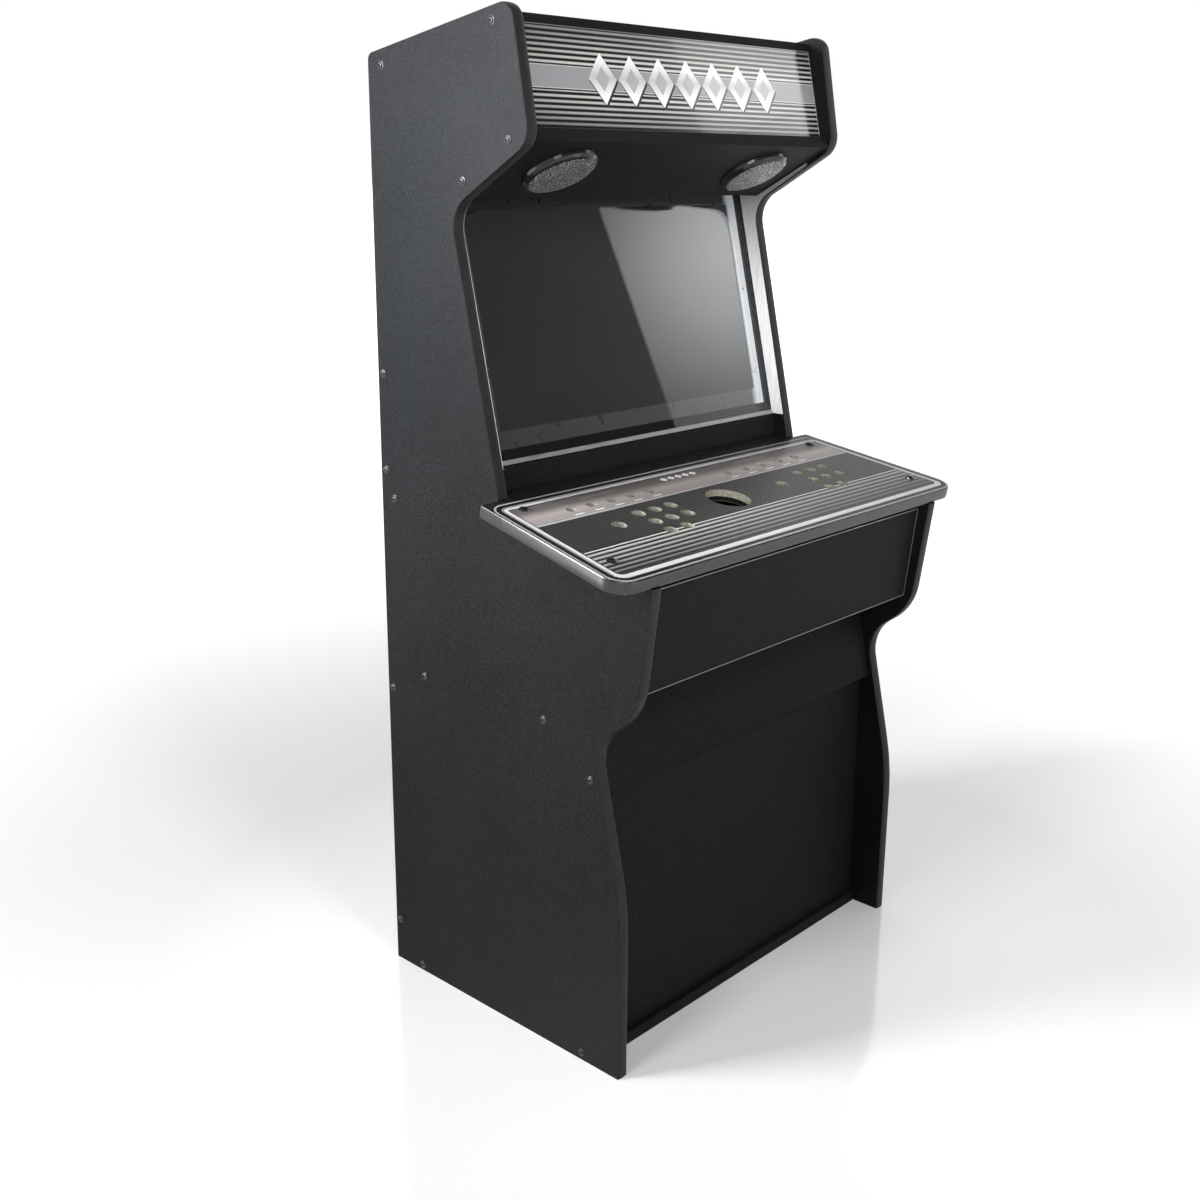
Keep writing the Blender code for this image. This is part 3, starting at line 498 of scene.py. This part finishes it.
def bezel_sheet():
    """Satin surround of the monitor: dark, with a painted highlight that makes its right stile bright."""
    graph = Graph("bezel_sheet", Metallic=0.5)
    x = graph.axes()[0]
    brush = graph.noise(500.0, 2.0)
    # Painted highlight: the right stile is coloured near white, where the light falls on it.
    painted_highlight = graph.scaled(x, 0.340, 0.356)
    tone = graph.colour(painted_highlight, grey(0.055), grey(0.950))
    graph.set("Base Color", graph.colour(graph.scaled(brush, 0.3, 0.7, 0.0, 0.3), tone, grey(0.030)))
    graph.set("Roughness", graph.scaled(graph.noise(30.0, 2.0), 0.3, 0.7, 0.26, 0.36))
    graph.bump(brush, 0.00003, 0.3)
    return graph.material


def liner_sheet():
    """Pale sheet on the sides beside the screen, drawn along its height, with painted shade darkening it
    towards its top.
    """
    graph = Graph("side_sheet", Metallic=0.2)
    x, y, z = graph.axes()
    lines = graph.noise(520.0, 2.0, graph.join(x, y, graph.math("MULTIPLY", z, 0.05)))
    # Painted shade: the sheet's colour darkens towards its top, under the speaker panel.
    tone = graph.colour(graph.scaled(z, 1.24, 1.44), grey(0.900), grey(0.200))
    graph.set("Base Color", graph.colour(graph.scaled(lines, 0.3, 0.7, 0.30, 0.0), tone, grey(0.120)))
    graph.set("Roughness", graph.scaled(graph.noise(22.0, 4.0), 0.3, 0.7, 0.43, 0.60))
    graph.bump(lines, 0.00004, 0.5)
    return graph.material


def grille_mesh():
    """Woven wire with painted glints, inside a smooth rolled rim."""
    graph = Graph("grille_mesh", Metallic=0.35)
    openings = graph.cells(330.0)
    # Painted highlight: bright specks of noise on the wire stand in for glints of light.
    painted_glints = graph.noise(520.0, 2.0)
    wire = graph.scaled(openings, 0.26, 0.62)
    painted_highlight = graph.colour(graph.scaled(painted_glints, 0.52, 0.66), grey(0.018), grey(0.900))
    low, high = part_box("speaker_grille_right")
    centre = (low + high) / 2
    x, y, z = graph.axes()
    across = graph.math("SUBTRACT", graph.math("ABSOLUTE", x), centre.x)
    back = graph.math("MULTIPLY", graph.math("SUBTRACT", y, centre.y), cos(SPEAKER_LEAN))
    down = graph.math("MULTIPLY", graph.math("SUBTRACT", z, centre.z), sin(SPEAKER_LEAN))
    along = graph.math("SUBTRACT", back, down)
    radius = graph.math("SQRT", graph.math("ADD", graph.both(across, across), graph.both(along, along)))
    mesh = graph.math("LESS_THAN", radius, MESH_RADIUS)
    graph.set("Base Color", graph.colour(mesh, grey(0.012), graph.colour(wire, grey(0.004), painted_highlight)))
    graph.set("Roughness", graph.scaled(mesh, 0.0, 1.0, 0.16, 0.42))
    graph.bump(graph.both(wire, mesh), 0.0005, 0.8)
    return graph.material


def make_materials():
    return {
        "laminate": laminate("side_laminate", grey(0.0016, -0.04), grey(0.0092, -0.08), 0.50,
                             Specular_IOR_Level=0.07),
        "inner": laminate("black_laminate", grey(0.003), grey(0.0095), 0.60, Specular_IOR_Level=0.08),
        "molding": moulded("edge_plastic", grey(0.019), 0.34, Specular_IOR_Level=0.10),
        "gloss": moulded("panel_edge_plastic", grey(0.004, -0.02), 0.28, Specular_IOR_Level=0.7),
        "print": panel_print(),
        "mdf": raw_board("raw_board"),
        "steel": metal("zinc_plate", grey(0.560), 0.34, (1.0, 1.0, 0.08)),
        "black_steel": moulded("black_paint", grey(0.008), 0.14, 400.0, 0.00003, Coat_Weight=0.4),
        "aluminium": metal("satin_strip", grey(0.420), 0.36, (0.04, 1.0, 1.0)),
        "clear": clear_cover(),
        "screen": screen_glass(),
        "bezel": bezel_sheet(),
        "liner": liner_sheet(),
        "grille": grille_mesh(),
        "art": marquee_print(),
        "lamp": moulded("lamp_cover", grey(0.800), 0.45),
        "plastic": moulded("black_plastic", grey(0.018), 0.44),
        "bolt": metal("bolt_steel", grey(0.040), 0.30, Metallic=0.6),
        "bright_steel": metal("screw_steel", grey(0.600), 0.22),
        "bead": metal("rim_steel", grey(0.160), 0.20),
        # Pale line round the drawer front: a painted highlight on its edges.
        "drawer_highlight": moulded("painted_edge_highlight", grey(0.160), 0.40),
    }


def dress(materials):
    """Give every CAD node its finished material, by the record's slot."""
    for entry in frame["record"]["subparts"]:
        mesh = NODES[entry["node"]].data
        mesh.materials.clear()
        mesh.materials.append(materials[entry["material_slot"]])


# ---------------------------------------------------------------- geometry


def new_object(name, shape, material, body):
    """Object made from a bmesh in the frame's own coordinates, riding on a body."""
    bmesh.ops.recalc_face_normals(shape, faces=shape.faces)
    mesh = bpy.data.meshes.new(name)
    shape.to_mesh(mesh)
    shape.free()
    mesh.shade_smooth()
    mesh.set_sharp_from_angle(angle=radians(38.0))
    obj = bpy.data.objects.new(name, mesh)
    bpy.context.scene.collection.objects.link(obj)
    mesh.materials.append(material)
    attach(obj, body)
    return obj


def rounded_path(corners):
    """Points along an open outline of (a, b, radius) corners, with arcs at its inner corners."""
    points = [Vector(corners[0][:2])]
    for before, (a, b, radius), after in zip(corners, corners[1:], corners[2:]):
        corner = Vector((a, b))
        if radius <= 0.0:
            points.append(corner)
            continue
        to_before = (Vector(before[:2]) - corner).normalized()
        to_after = (Vector(after[:2]) - corner).normalized()
        turn = pi - to_before.angle(to_after)
        reach = radius * tan(turn / 2)
        centre = corner + (to_before + to_after).normalized() * hypot(reach, radius)
        start = corner + to_before * reach - centre
        side = 1.0 if to_before.cross(to_after) < 0.0 else -1.0
        count = max(2, ceil(turn / ARC_STEP))
        for part in range(count + 1):
            points.append(centre + Matrix.Rotation(side * turn * part / count, 2) @ start)
    points.append(Vector(corners[-1][:2]))
    return points


def inward_normals(points, inside):
    """Unit mitre vectors that point to the inside of an open outline."""
    found = []
    for index, point in enumerate(points):
        before = points[max(index - 1, 0)]
        after = points[min(index + 1, len(points) - 1)]
        first = (point - before).normalized() if index else (after - point).normalized()
        second = (after - point).normalized() if index < len(points) - 1 else first
        across = (first + second).normalized()
        normal = Vector((-across.y, across.x)) * inside
        found.append(normal / max(normal.dot(Vector((-first.y, first.x)) * inside), 0.5))
    return found


def crown_strip(shape, points, inside, half, lift):
    """Edge moulding's outer skin: a crowned strip along an outline; lift turns (a, b, c) into a place."""
    normals = inward_normals(points, inside)
    steps = 10
    rows = []
    for point, normal in zip(points, normals):
        row = []
        for index in range(steps + 1):
            angle = -pi / 2 + pi * index / steps
            depth = CROWN_INSET + CROWN * (1.0 - cos(angle))
            place = point + normal * depth
            row.append(shape.verts.new(lift(place.x, place.y, half * sin(angle))))
        for index in (1, 0):
            place = point + normal * (CROWN + 2 * CROWN_INSET)
            row.append(shape.verts.new(lift(place.x, place.y, half * (2 * index - 1) * 0.98)))
        rows.append(row)
    width = len(rows[0])
    for first, second in zip(rows, rows[1:]):
        for index in range(width):
            other = (index + 1) % width
            shape.faces.new((first[index], first[other], second[other], second[index]))
    shape.faces.new(rows[0])
    shape.faces.new(rows[-1])


def side_moldings(materials):
    for side in ("left", "right"):
        low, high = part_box(f"edge_molding_front_{side}")
        middle = (low.x + high.x) / 2

        def lift(a, b, c):
            return (middle + c, a + SIDE_SHIFT, b)

        for label, corners in (("front", SIDE_CORNERS[:5]), ("upper", SIDE_CORNERS[6:])):
            shape = bmesh.new()
            crown_strip(shape, rounded_path(corners), -1.0, BOARD / 2, lift)
            piece = new_object(f"crown_{label}_{side}", shape, materials["molding"], "cabinet")
            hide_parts(f"edge_molding_{label}_{side}")


def panel_place(x, along, above):
    return Vector((
        x,
        PANEL_Y + along * cos(PANEL_TILT) - above * sin(PANEL_TILT),
        PANEL_Z + along * sin(PANEL_TILT) + above * cos(PANEL_TILT),
    ))


def panel_molding(materials):
    corners = (
        (-PANEL_REAR_HALF, PANEL_DEPTH, 0.0),
        (-PANEL_FRONT_HALF, 0.0, PANEL_CORNER),
        (PANEL_FRONT_HALF, 0.0, PANEL_CORNER),
        (PANEL_REAR_HALF, PANEL_DEPTH, 0.0),
    )

    def lift(a, b, c):
        return panel_place(a, b, c - PANEL_THICKNESS / 2)

    shape = bmesh.new()
    crown_strip(shape, rounded_path(corners), 1.0, PANEL_THICKNESS / 2, lift)
    piece = new_object("control_panel_crown", shape, materials["gloss"], "cabinet")
    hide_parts("control_panel_molding")


def lathe(shape, profile, place, steps):
    """Turn (radius, height) points about local Z, put in place by a matrix."""
    rings = []
    for radius, height in profile:
        if radius <= 0.0:
            rings.append([shape.verts.new(place @ Vector((0.0, 0.0, height)))])
            continue
        ring = []
        for step in range(steps):
            angle = 2 * pi * step / steps
            spot = Vector((radius * cos(angle), radius * sin(angle), height))
            ring.append(shape.verts.new(place @ spot))
        rings.append(ring)
    for first, second in zip(rings, rings[1:]):
        for step in range(steps):
            after = (step + 1) % steps
            corners = [first[step % len(first)], first[after % len(first)],
                       second[after % len(second)], second[step % len(second)]]
            shape.faces.new(list(dict.fromkeys(corners)))


def screw_head(shape, place, radius, height):
    """Low domed head on a thin washer, with a round recess."""
    parts = ((0.0, 0.0), (1.0, 0.0), (1.0, 0.18), (0.94, 0.26), (0.80, 0.30), (0.76, 0.52), (0.62, 0.82),
             (0.42, 0.98), (0.35, 1.0), (0.315, 0.35), (0.0, 0.30))
    lathe(shape, [(radius * across, height * up) for across, up in parts], place, 18)


def facing(place, direction):
    """Matrix that puts local Z along a direction at a place."""
    return Matrix.Translation(place) @ Vector(direction).to_track_quat("Z", "Y").to_matrix().to_4x4()


def side_bolts(materials):
    for side, sign in (("left", -1.0), ("right", 1.0)):
        low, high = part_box(f"side_panel_{side}")
        face = low.x if sign < 0.0 else high.x
        shape = bmesh.new()
        for depth, height in SIDE_BOLTS:
            place = Vector((face + sign * 0.0002, depth + SIDE_SHIFT, height))
            screw_head(shape, facing(place, (sign, 0.0, 0.0)), *SIDE_BOLT_SIZE)
        new_object(f"side_bolts_{side}", shape, materials["bolt"], "cabinet")


def grille_trim(materials):
    """Rim bead and small screws round each speaker grille."""
    for side in ("left", "right"):
        low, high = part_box(f"speaker_grille_{side}")
        centre = (low + high) / 2
        outward = Vector((0.0, -sin(SPEAKER_LEAN), -cos(SPEAKER_LEAN)))
        along = Vector((0.0, -cos(SPEAKER_LEAN), sin(SPEAKER_LEAN)))
        across = Vector((1.0, 0.0, 0.0))
        base = centre - outward * GRILLE_MIDDLE
        shape = bmesh.new()
        for index in range(4):
            angle = pi / 4 + index * pi / 2
            spot = base + (across * cos(angle) + along * sin(angle)) * GRILLE_SCREWS
            spot += outward * GRILLE_SCREW_LIFT
            screw_head(shape, facing(spot, outward), *GRILLE_SCREW_SIZE)
        new_object(f"grille_screws_{side}", shape, materials["bright_steel"], "cabinet")
        shape = bmesh.new()
        turns = [pi * step / 6 for step in range(7)]
        bead = [(BEAD_RADIUS + BEAD_HALF * cos(turn), BEAD_BASE + BEAD_RISE * sin(turn)) for turn in turns]
        lathe(shape, bead + bead[:1], facing(base, outward), 48)
        new_object(f"grille_bead_{side}", shape, materials["bead"], "cabinet")


def flat_screws(name, spots, direction, radius, material, body):
    """Row of small screw heads on one flat face."""
    shape = bmesh.new()
    for spot in spots:
        screw_head(shape, facing(Vector(spot), direction), radius, radius * 0.5)
    new_object(name, shape, material, body)


def slab(shape, low, high):
    """Rectangular block between two corners."""
    middle = [(a + b) / 2 for a, b in zip(low, high)]
    size = [b - a for a, b in zip(low, high)]
    matrix = Matrix.Translation(middle) @ Matrix.Diagonal((*size, 1.0))
    bmesh.ops.create_cube(shape, size=1.0, matrix=matrix)


def back_fittings(materials):
    """Screws in the hinge leaves, the lock's key slot, and the pins of the mains inlet."""
    for label in ("upper", "lower"):
        for part, body, sign in (("fixed", "cabinet", 1.0), ("moving", "door", -1.0)):
            low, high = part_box(f"hinge_{label}_{part}")
            x = (high.x if sign > 0.0 else low.x) - sign * HINGE_SCREW_IN
            middle = (low.z + high.z) / 2
            spots = [(x, high.y - HINGE_STEP, middle + lift) for lift in HINGE_SCREW_HEIGHTS]
            flat_screws(f"hinge_screws_{label}_{part}", spots, BACKWARDS, HINGE_SCREW_RADIUS,
                        materials["bright_steel"], body)
    low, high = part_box("lock_barrel")
    centre = (low + high) / 2
    shape = bmesh.new()
    wide, tall = KEY_SLOT
    slab(shape, (centre.x - wide, high.y + 0.0003, centre.z - tall),
         (centre.x + wide, high.y + 0.0006, centre.z + tall))
    new_object("lock_key_slot", shape, materials["plastic"], "lock")
    low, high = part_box("power_socket")
    shape = bmesh.new()
    wide, tall = PIN_HALF
    for x, z in INLET_PINS:
        slab(shape, (x - wide, high.y - PIN_ENDS[0], z - tall), (x + wide, high.y - PIN_ENDS[1], z + tall))
    new_object("inlet_pins", shape, materials["bright_steel"], "cabinet")
    middle = (low.z + high.z) / 2
    spots = [(x, high.y - 0.0001, middle) for x in (low.x + INLET_SCREW_IN, high.x - INLET_SCREW_IN)]
    flat_screws("inlet_screws", spots, BACKWARDS, INLET_SCREW_RADIUS,
                materials["bright_steel"], "cabinet")


def framed_line(shape, low, high, width, place):
    """Thin raised frame round a rectangle in a plane; place turns (a, b, c) into a point."""
    (a0, b0), (a1, b1) = low, high
    outer = [(a0, b0), (a1, b0), (a1, b1), (a0, b1)]
    inner = [(a0 + width, b0 + width), (a1 - width, b0 + width),
             (a1 - width, b1 - width), (a0 + width, b1 - width)]
    height = width * 0.8
    rings = []
    for ring, level in ((outer, 0.0), (outer, height * 0.6), (inner, height), (inner, 0.0)):
        inset = 0.2 * width if level == height else 0.0
        rings.append([
            shape.verts.new(place(a + (inset if a < 0 else -inset), b, level)) for a, b in ring
        ])
    for first, second in zip(rings, rings[1:] + rings[:1]):
        for index in range(4):
            after = (index + 1) % 4
            shape.faces.new((first[index], first[after], second[after], second[index]))


def drawer_edge_highlight(materials):
    """Pale line round the face of the drawer's front board: a painted highlight on its edges."""
    low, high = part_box("drawer_front")
    lean = atan2(DRAWER_LEAN, DRAWER_HEIGHT)
    base = Vector((0.0, low.y + DRAWER_LEAN, low.z))
    up = Vector((0.0, -sin(lean), cos(lean)))
    out = Vector((0.0, -cos(lean), -sin(lean)))

    def place(a, b, c):
        return Vector((a, 0.0, 0.0)) + base + up * b + out * c

    shape = bmesh.new()
    length = hypot(DRAWER_LEAN, DRAWER_HEIGHT)
    corner = (low.x + EDGE_INSET, EDGE_INSET)
    framed_line(shape, corner, (high.x - EDGE_INSET, length - EDGE_INSET), HIGHLIGHT_LINE, place)
    new_object("drawer_painted_highlight_line", shape, materials["drawer_highlight"], "drawer")


# ---------------------------------------------------------------- stage, lights, camera


def area_light(name, place, target, size, power, colour=(1.0, 1.0, 1.0)):
    light = bpy.data.lights.new(name, "AREA")
    light.shape = "RECTANGLE"
    light.size, light.size_y = size
    light.energy = power
    light.color = colour
    obj = bpy.data.objects.new(name, light)
    obj.location = place
    obj.rotation_euler = (Vector(target) - Vector(place)).to_track_quat("-Z", "Y").to_euler()
    obj.visible_camera = False
    bpy.context.scene.collection.objects.link(obj)
    return obj


def make_stage():
    shape = bmesh.new()
    bmesh.ops.create_grid(shape, x_segments=8, y_segments=8, size=60.0)
    mesh = bpy.data.meshes.new("floor")
    shape.to_mesh(mesh)
    shape.free()
    floor = bpy.data.objects.new("floor", mesh)
    bpy.context.scene.collection.objects.link(floor)
    graph = Graph("pale_floor", Specular_IOR_Level=1.0, IOR=1.75)
    graph.shader.inputs["Emission Color"].default_value = (1.0, 1.0, 1.0, 1.0)
    x, y, _ = graph.axes()
    away = graph.math("SQRT", graph.math("ADD", graph.both(x, x), graph.both(y, y)))
    graph.set("Emission Strength", graph.scaled(away, 1.0, 4.0, 0.10, 0.98))
    graph.set("Base Color", graph.colour(graph.noise(1.2, 2.0), grey(0.64), grey(0.66)))
    graph.set("Roughness", graph.scaled(graph.noise(2.0, 2.0), 0.3, 0.7, 0.09, 0.11))
    mesh.materials.append(graph.material)


def make_world():
    """White to the camera; dim all round for light, with a white backdrop behind the cabinet."""
    world = bpy.data.worlds.new("studio")
    world.use_nodes = True
    nodes, links = world.node_tree.nodes, world.node_tree.links
    soft = nodes["Background"]
    soft.inputs["Color"].default_value = (0.97, 0.985, 1.0, 1.0)
    place = nodes.new("ShaderNodeTexCoord")
    towards = nodes.new("ShaderNodeVectorMath")
    towards.operation = "DOT_PRODUCT"
    towards.inputs[1].default_value = (0.67, 0.74, 0.0)
    links.new(place.outputs["Generated"], towards.inputs[0])
    backdrop = nodes.new("ShaderNodeMapRange")
    for socket, number in zip(backdrop.inputs[1:5], (0.30, 0.75, 0.14, 1.0)):
        socket.default_value = number
    links.new(towards.outputs["Value"], backdrop.inputs[0])
    links.new(backdrop.outputs[0], soft.inputs["Strength"])
    seen = nodes.new("ShaderNodeBackground")
    seen.inputs["Color"].default_value = (1.0, 1.0, 1.0, 1.0)
    path = nodes.new("ShaderNodeLightPath")
    mix = nodes.new("ShaderNodeMixShader")
    links.new(path.outputs["Is Camera Ray"], mix.inputs[0])
    links.new(soft.outputs[0], mix.inputs[1])
    links.new(seen.outputs[0], mix.inputs[2])
    links.new(mix.outputs[0], nodes["World Output"].inputs["Surface"])
    bpy.context.scene.world = world


def softbox(name, low, high, level, hot, hot_level):
    """Card in front of the cabinet, brightest at one spot; the cover and marquee mirror its edge."""
    shape = bmesh.new()
    bmesh.ops.create_grid(shape, x_segments=1, y_segments=1, size=0.5)
    mesh = bpy.data.meshes.new(name)
    shape.to_mesh(mesh)
    shape.free()
    card = bpy.data.objects.new(name, mesh)
    bpy.context.scene.collection.objects.link(card)
    middle = [(a + b) / 2 for a, b in zip(low, high)]
    place = CARD_FOOT + CARD_ACROSS * middle[0] + Vector((0.0, 0.0, middle[1]))
    card.matrix_world = (Matrix.Translation(place)
                         @ Matrix.Rotation(atan2(CARD_ACROSS.y, CARD_ACROSS.x), 4, "Z")
                         @ Matrix.Rotation(pi / 2, 4, "X")
                         @ Matrix.Diagonal((high[0] - low[0], high[1] - low[1], 1.0, 1.0)))
    material = bpy.data.materials.new(name)
    material.use_nodes = True
    nodes, links = material.node_tree.nodes, material.node_tree.links
    nodes.clear()
    geometry = nodes.new("ShaderNodeNewGeometry")
    gap = nodes.new("ShaderNodeVectorMath")
    gap.operation = "DISTANCE"
    gap.inputs[1].default_value = CARD_FOOT + CARD_ACROSS * hot[0] + Vector((0.0, 0.0, hot[1]))
    links.new(geometry.outputs["Position"], gap.inputs[0])
    fall = nodes.new("ShaderNodeMapRange")
    fall.interpolation_type = "SMOOTHSTEP"
    for socket, number in zip(fall.inputs[1:5], (0.0, CARD_REACH, hot_level, level)):
        socket.default_value = number
    links.new(gap.outputs["Value"], fall.inputs[0])
    glow = nodes.new("ShaderNodeEmission")
    links.new(fall.outputs[0], glow.inputs["Strength"])
    links.new(glow.outputs[0], nodes.new("ShaderNodeOutputMaterial").inputs["Surface"])
    mesh.materials.append(material)
    card.visible_camera = False
    card.visible_shadow = False


def make_lights():
    softbox("screen_card", (-1.30, 0.90), (-0.10, 2.42), 0.9, (-0.56, 2.00), 3.8)
    softbox("marquee_card", (-1.30, 2.43), (-0.24, 3.40), 2.6, (-0.90, 2.80), 2.6)
    area_light("front", (-1.0, -3.6, 4.3), (0.0, 0.0, 0.5), (1.2, 1.2), 130.0)
    area_light("left", (-3.9, -0.3, 4.6), (0.0, 0.0, 0.4), (1.2, 1.2), 130.0)
    area_light("fill", (-2.7, -2.5, 2.2), (0.0, 0.0, 1.0), (1.4, 1.4), 25.0)
    area_light("low", (0.6, -3.2, 0.9), (0.3, 0.0, 0.3), (1.0, 1.0), 11.0)
    cool = (0.92, 0.95, 1.0)
    sheen = area_light("sheen", (-2.2, 1.2, 1.9), (-0.41, 0.0, 1.26), (0.9, 1.2), 38.0, cool)
    sheen.data.spread = radians(70.0)
    area_light("edge", (-2.3, 1.3, 0.55), (-0.47, -0.1, 0.95), (0.9, 0.9), 15.0)
    inner = area_light("inner", (-1.9, -2.4, 1.25), (0.41, 0.06, 1.22), (0.4, 0.4), 1.8)
    inner.data.spread = radians(24.0)


def make_camera():
    data = bpy.data.cameras.new("camera")
    data.sensor_width = 36.0
    data.lens = 43.45
    data.shift_x = -0.0274
    data.shift_y = -0.0318
    camera = bpy.data.objects.new("camera", data)
    camera.location = (-2.0008, -1.6976, 1.5141)
    camera.rotation_euler = (1.2988, -0.0132, -0.8385)
    bpy.context.scene.collection.objects.link(camera)
    bpy.context.scene.camera = camera
    bpy.context.scene.view_settings.view_transform = "Standard"


materials = make_materials()
dress(materials)
side_moldings(materials)
panel_molding(materials)
side_bolts(materials)
grille_trim(materials)
drawer_edge_highlight(materials)
back_fittings(materials)
make_stage()
make_world()
make_lights()
make_camera()
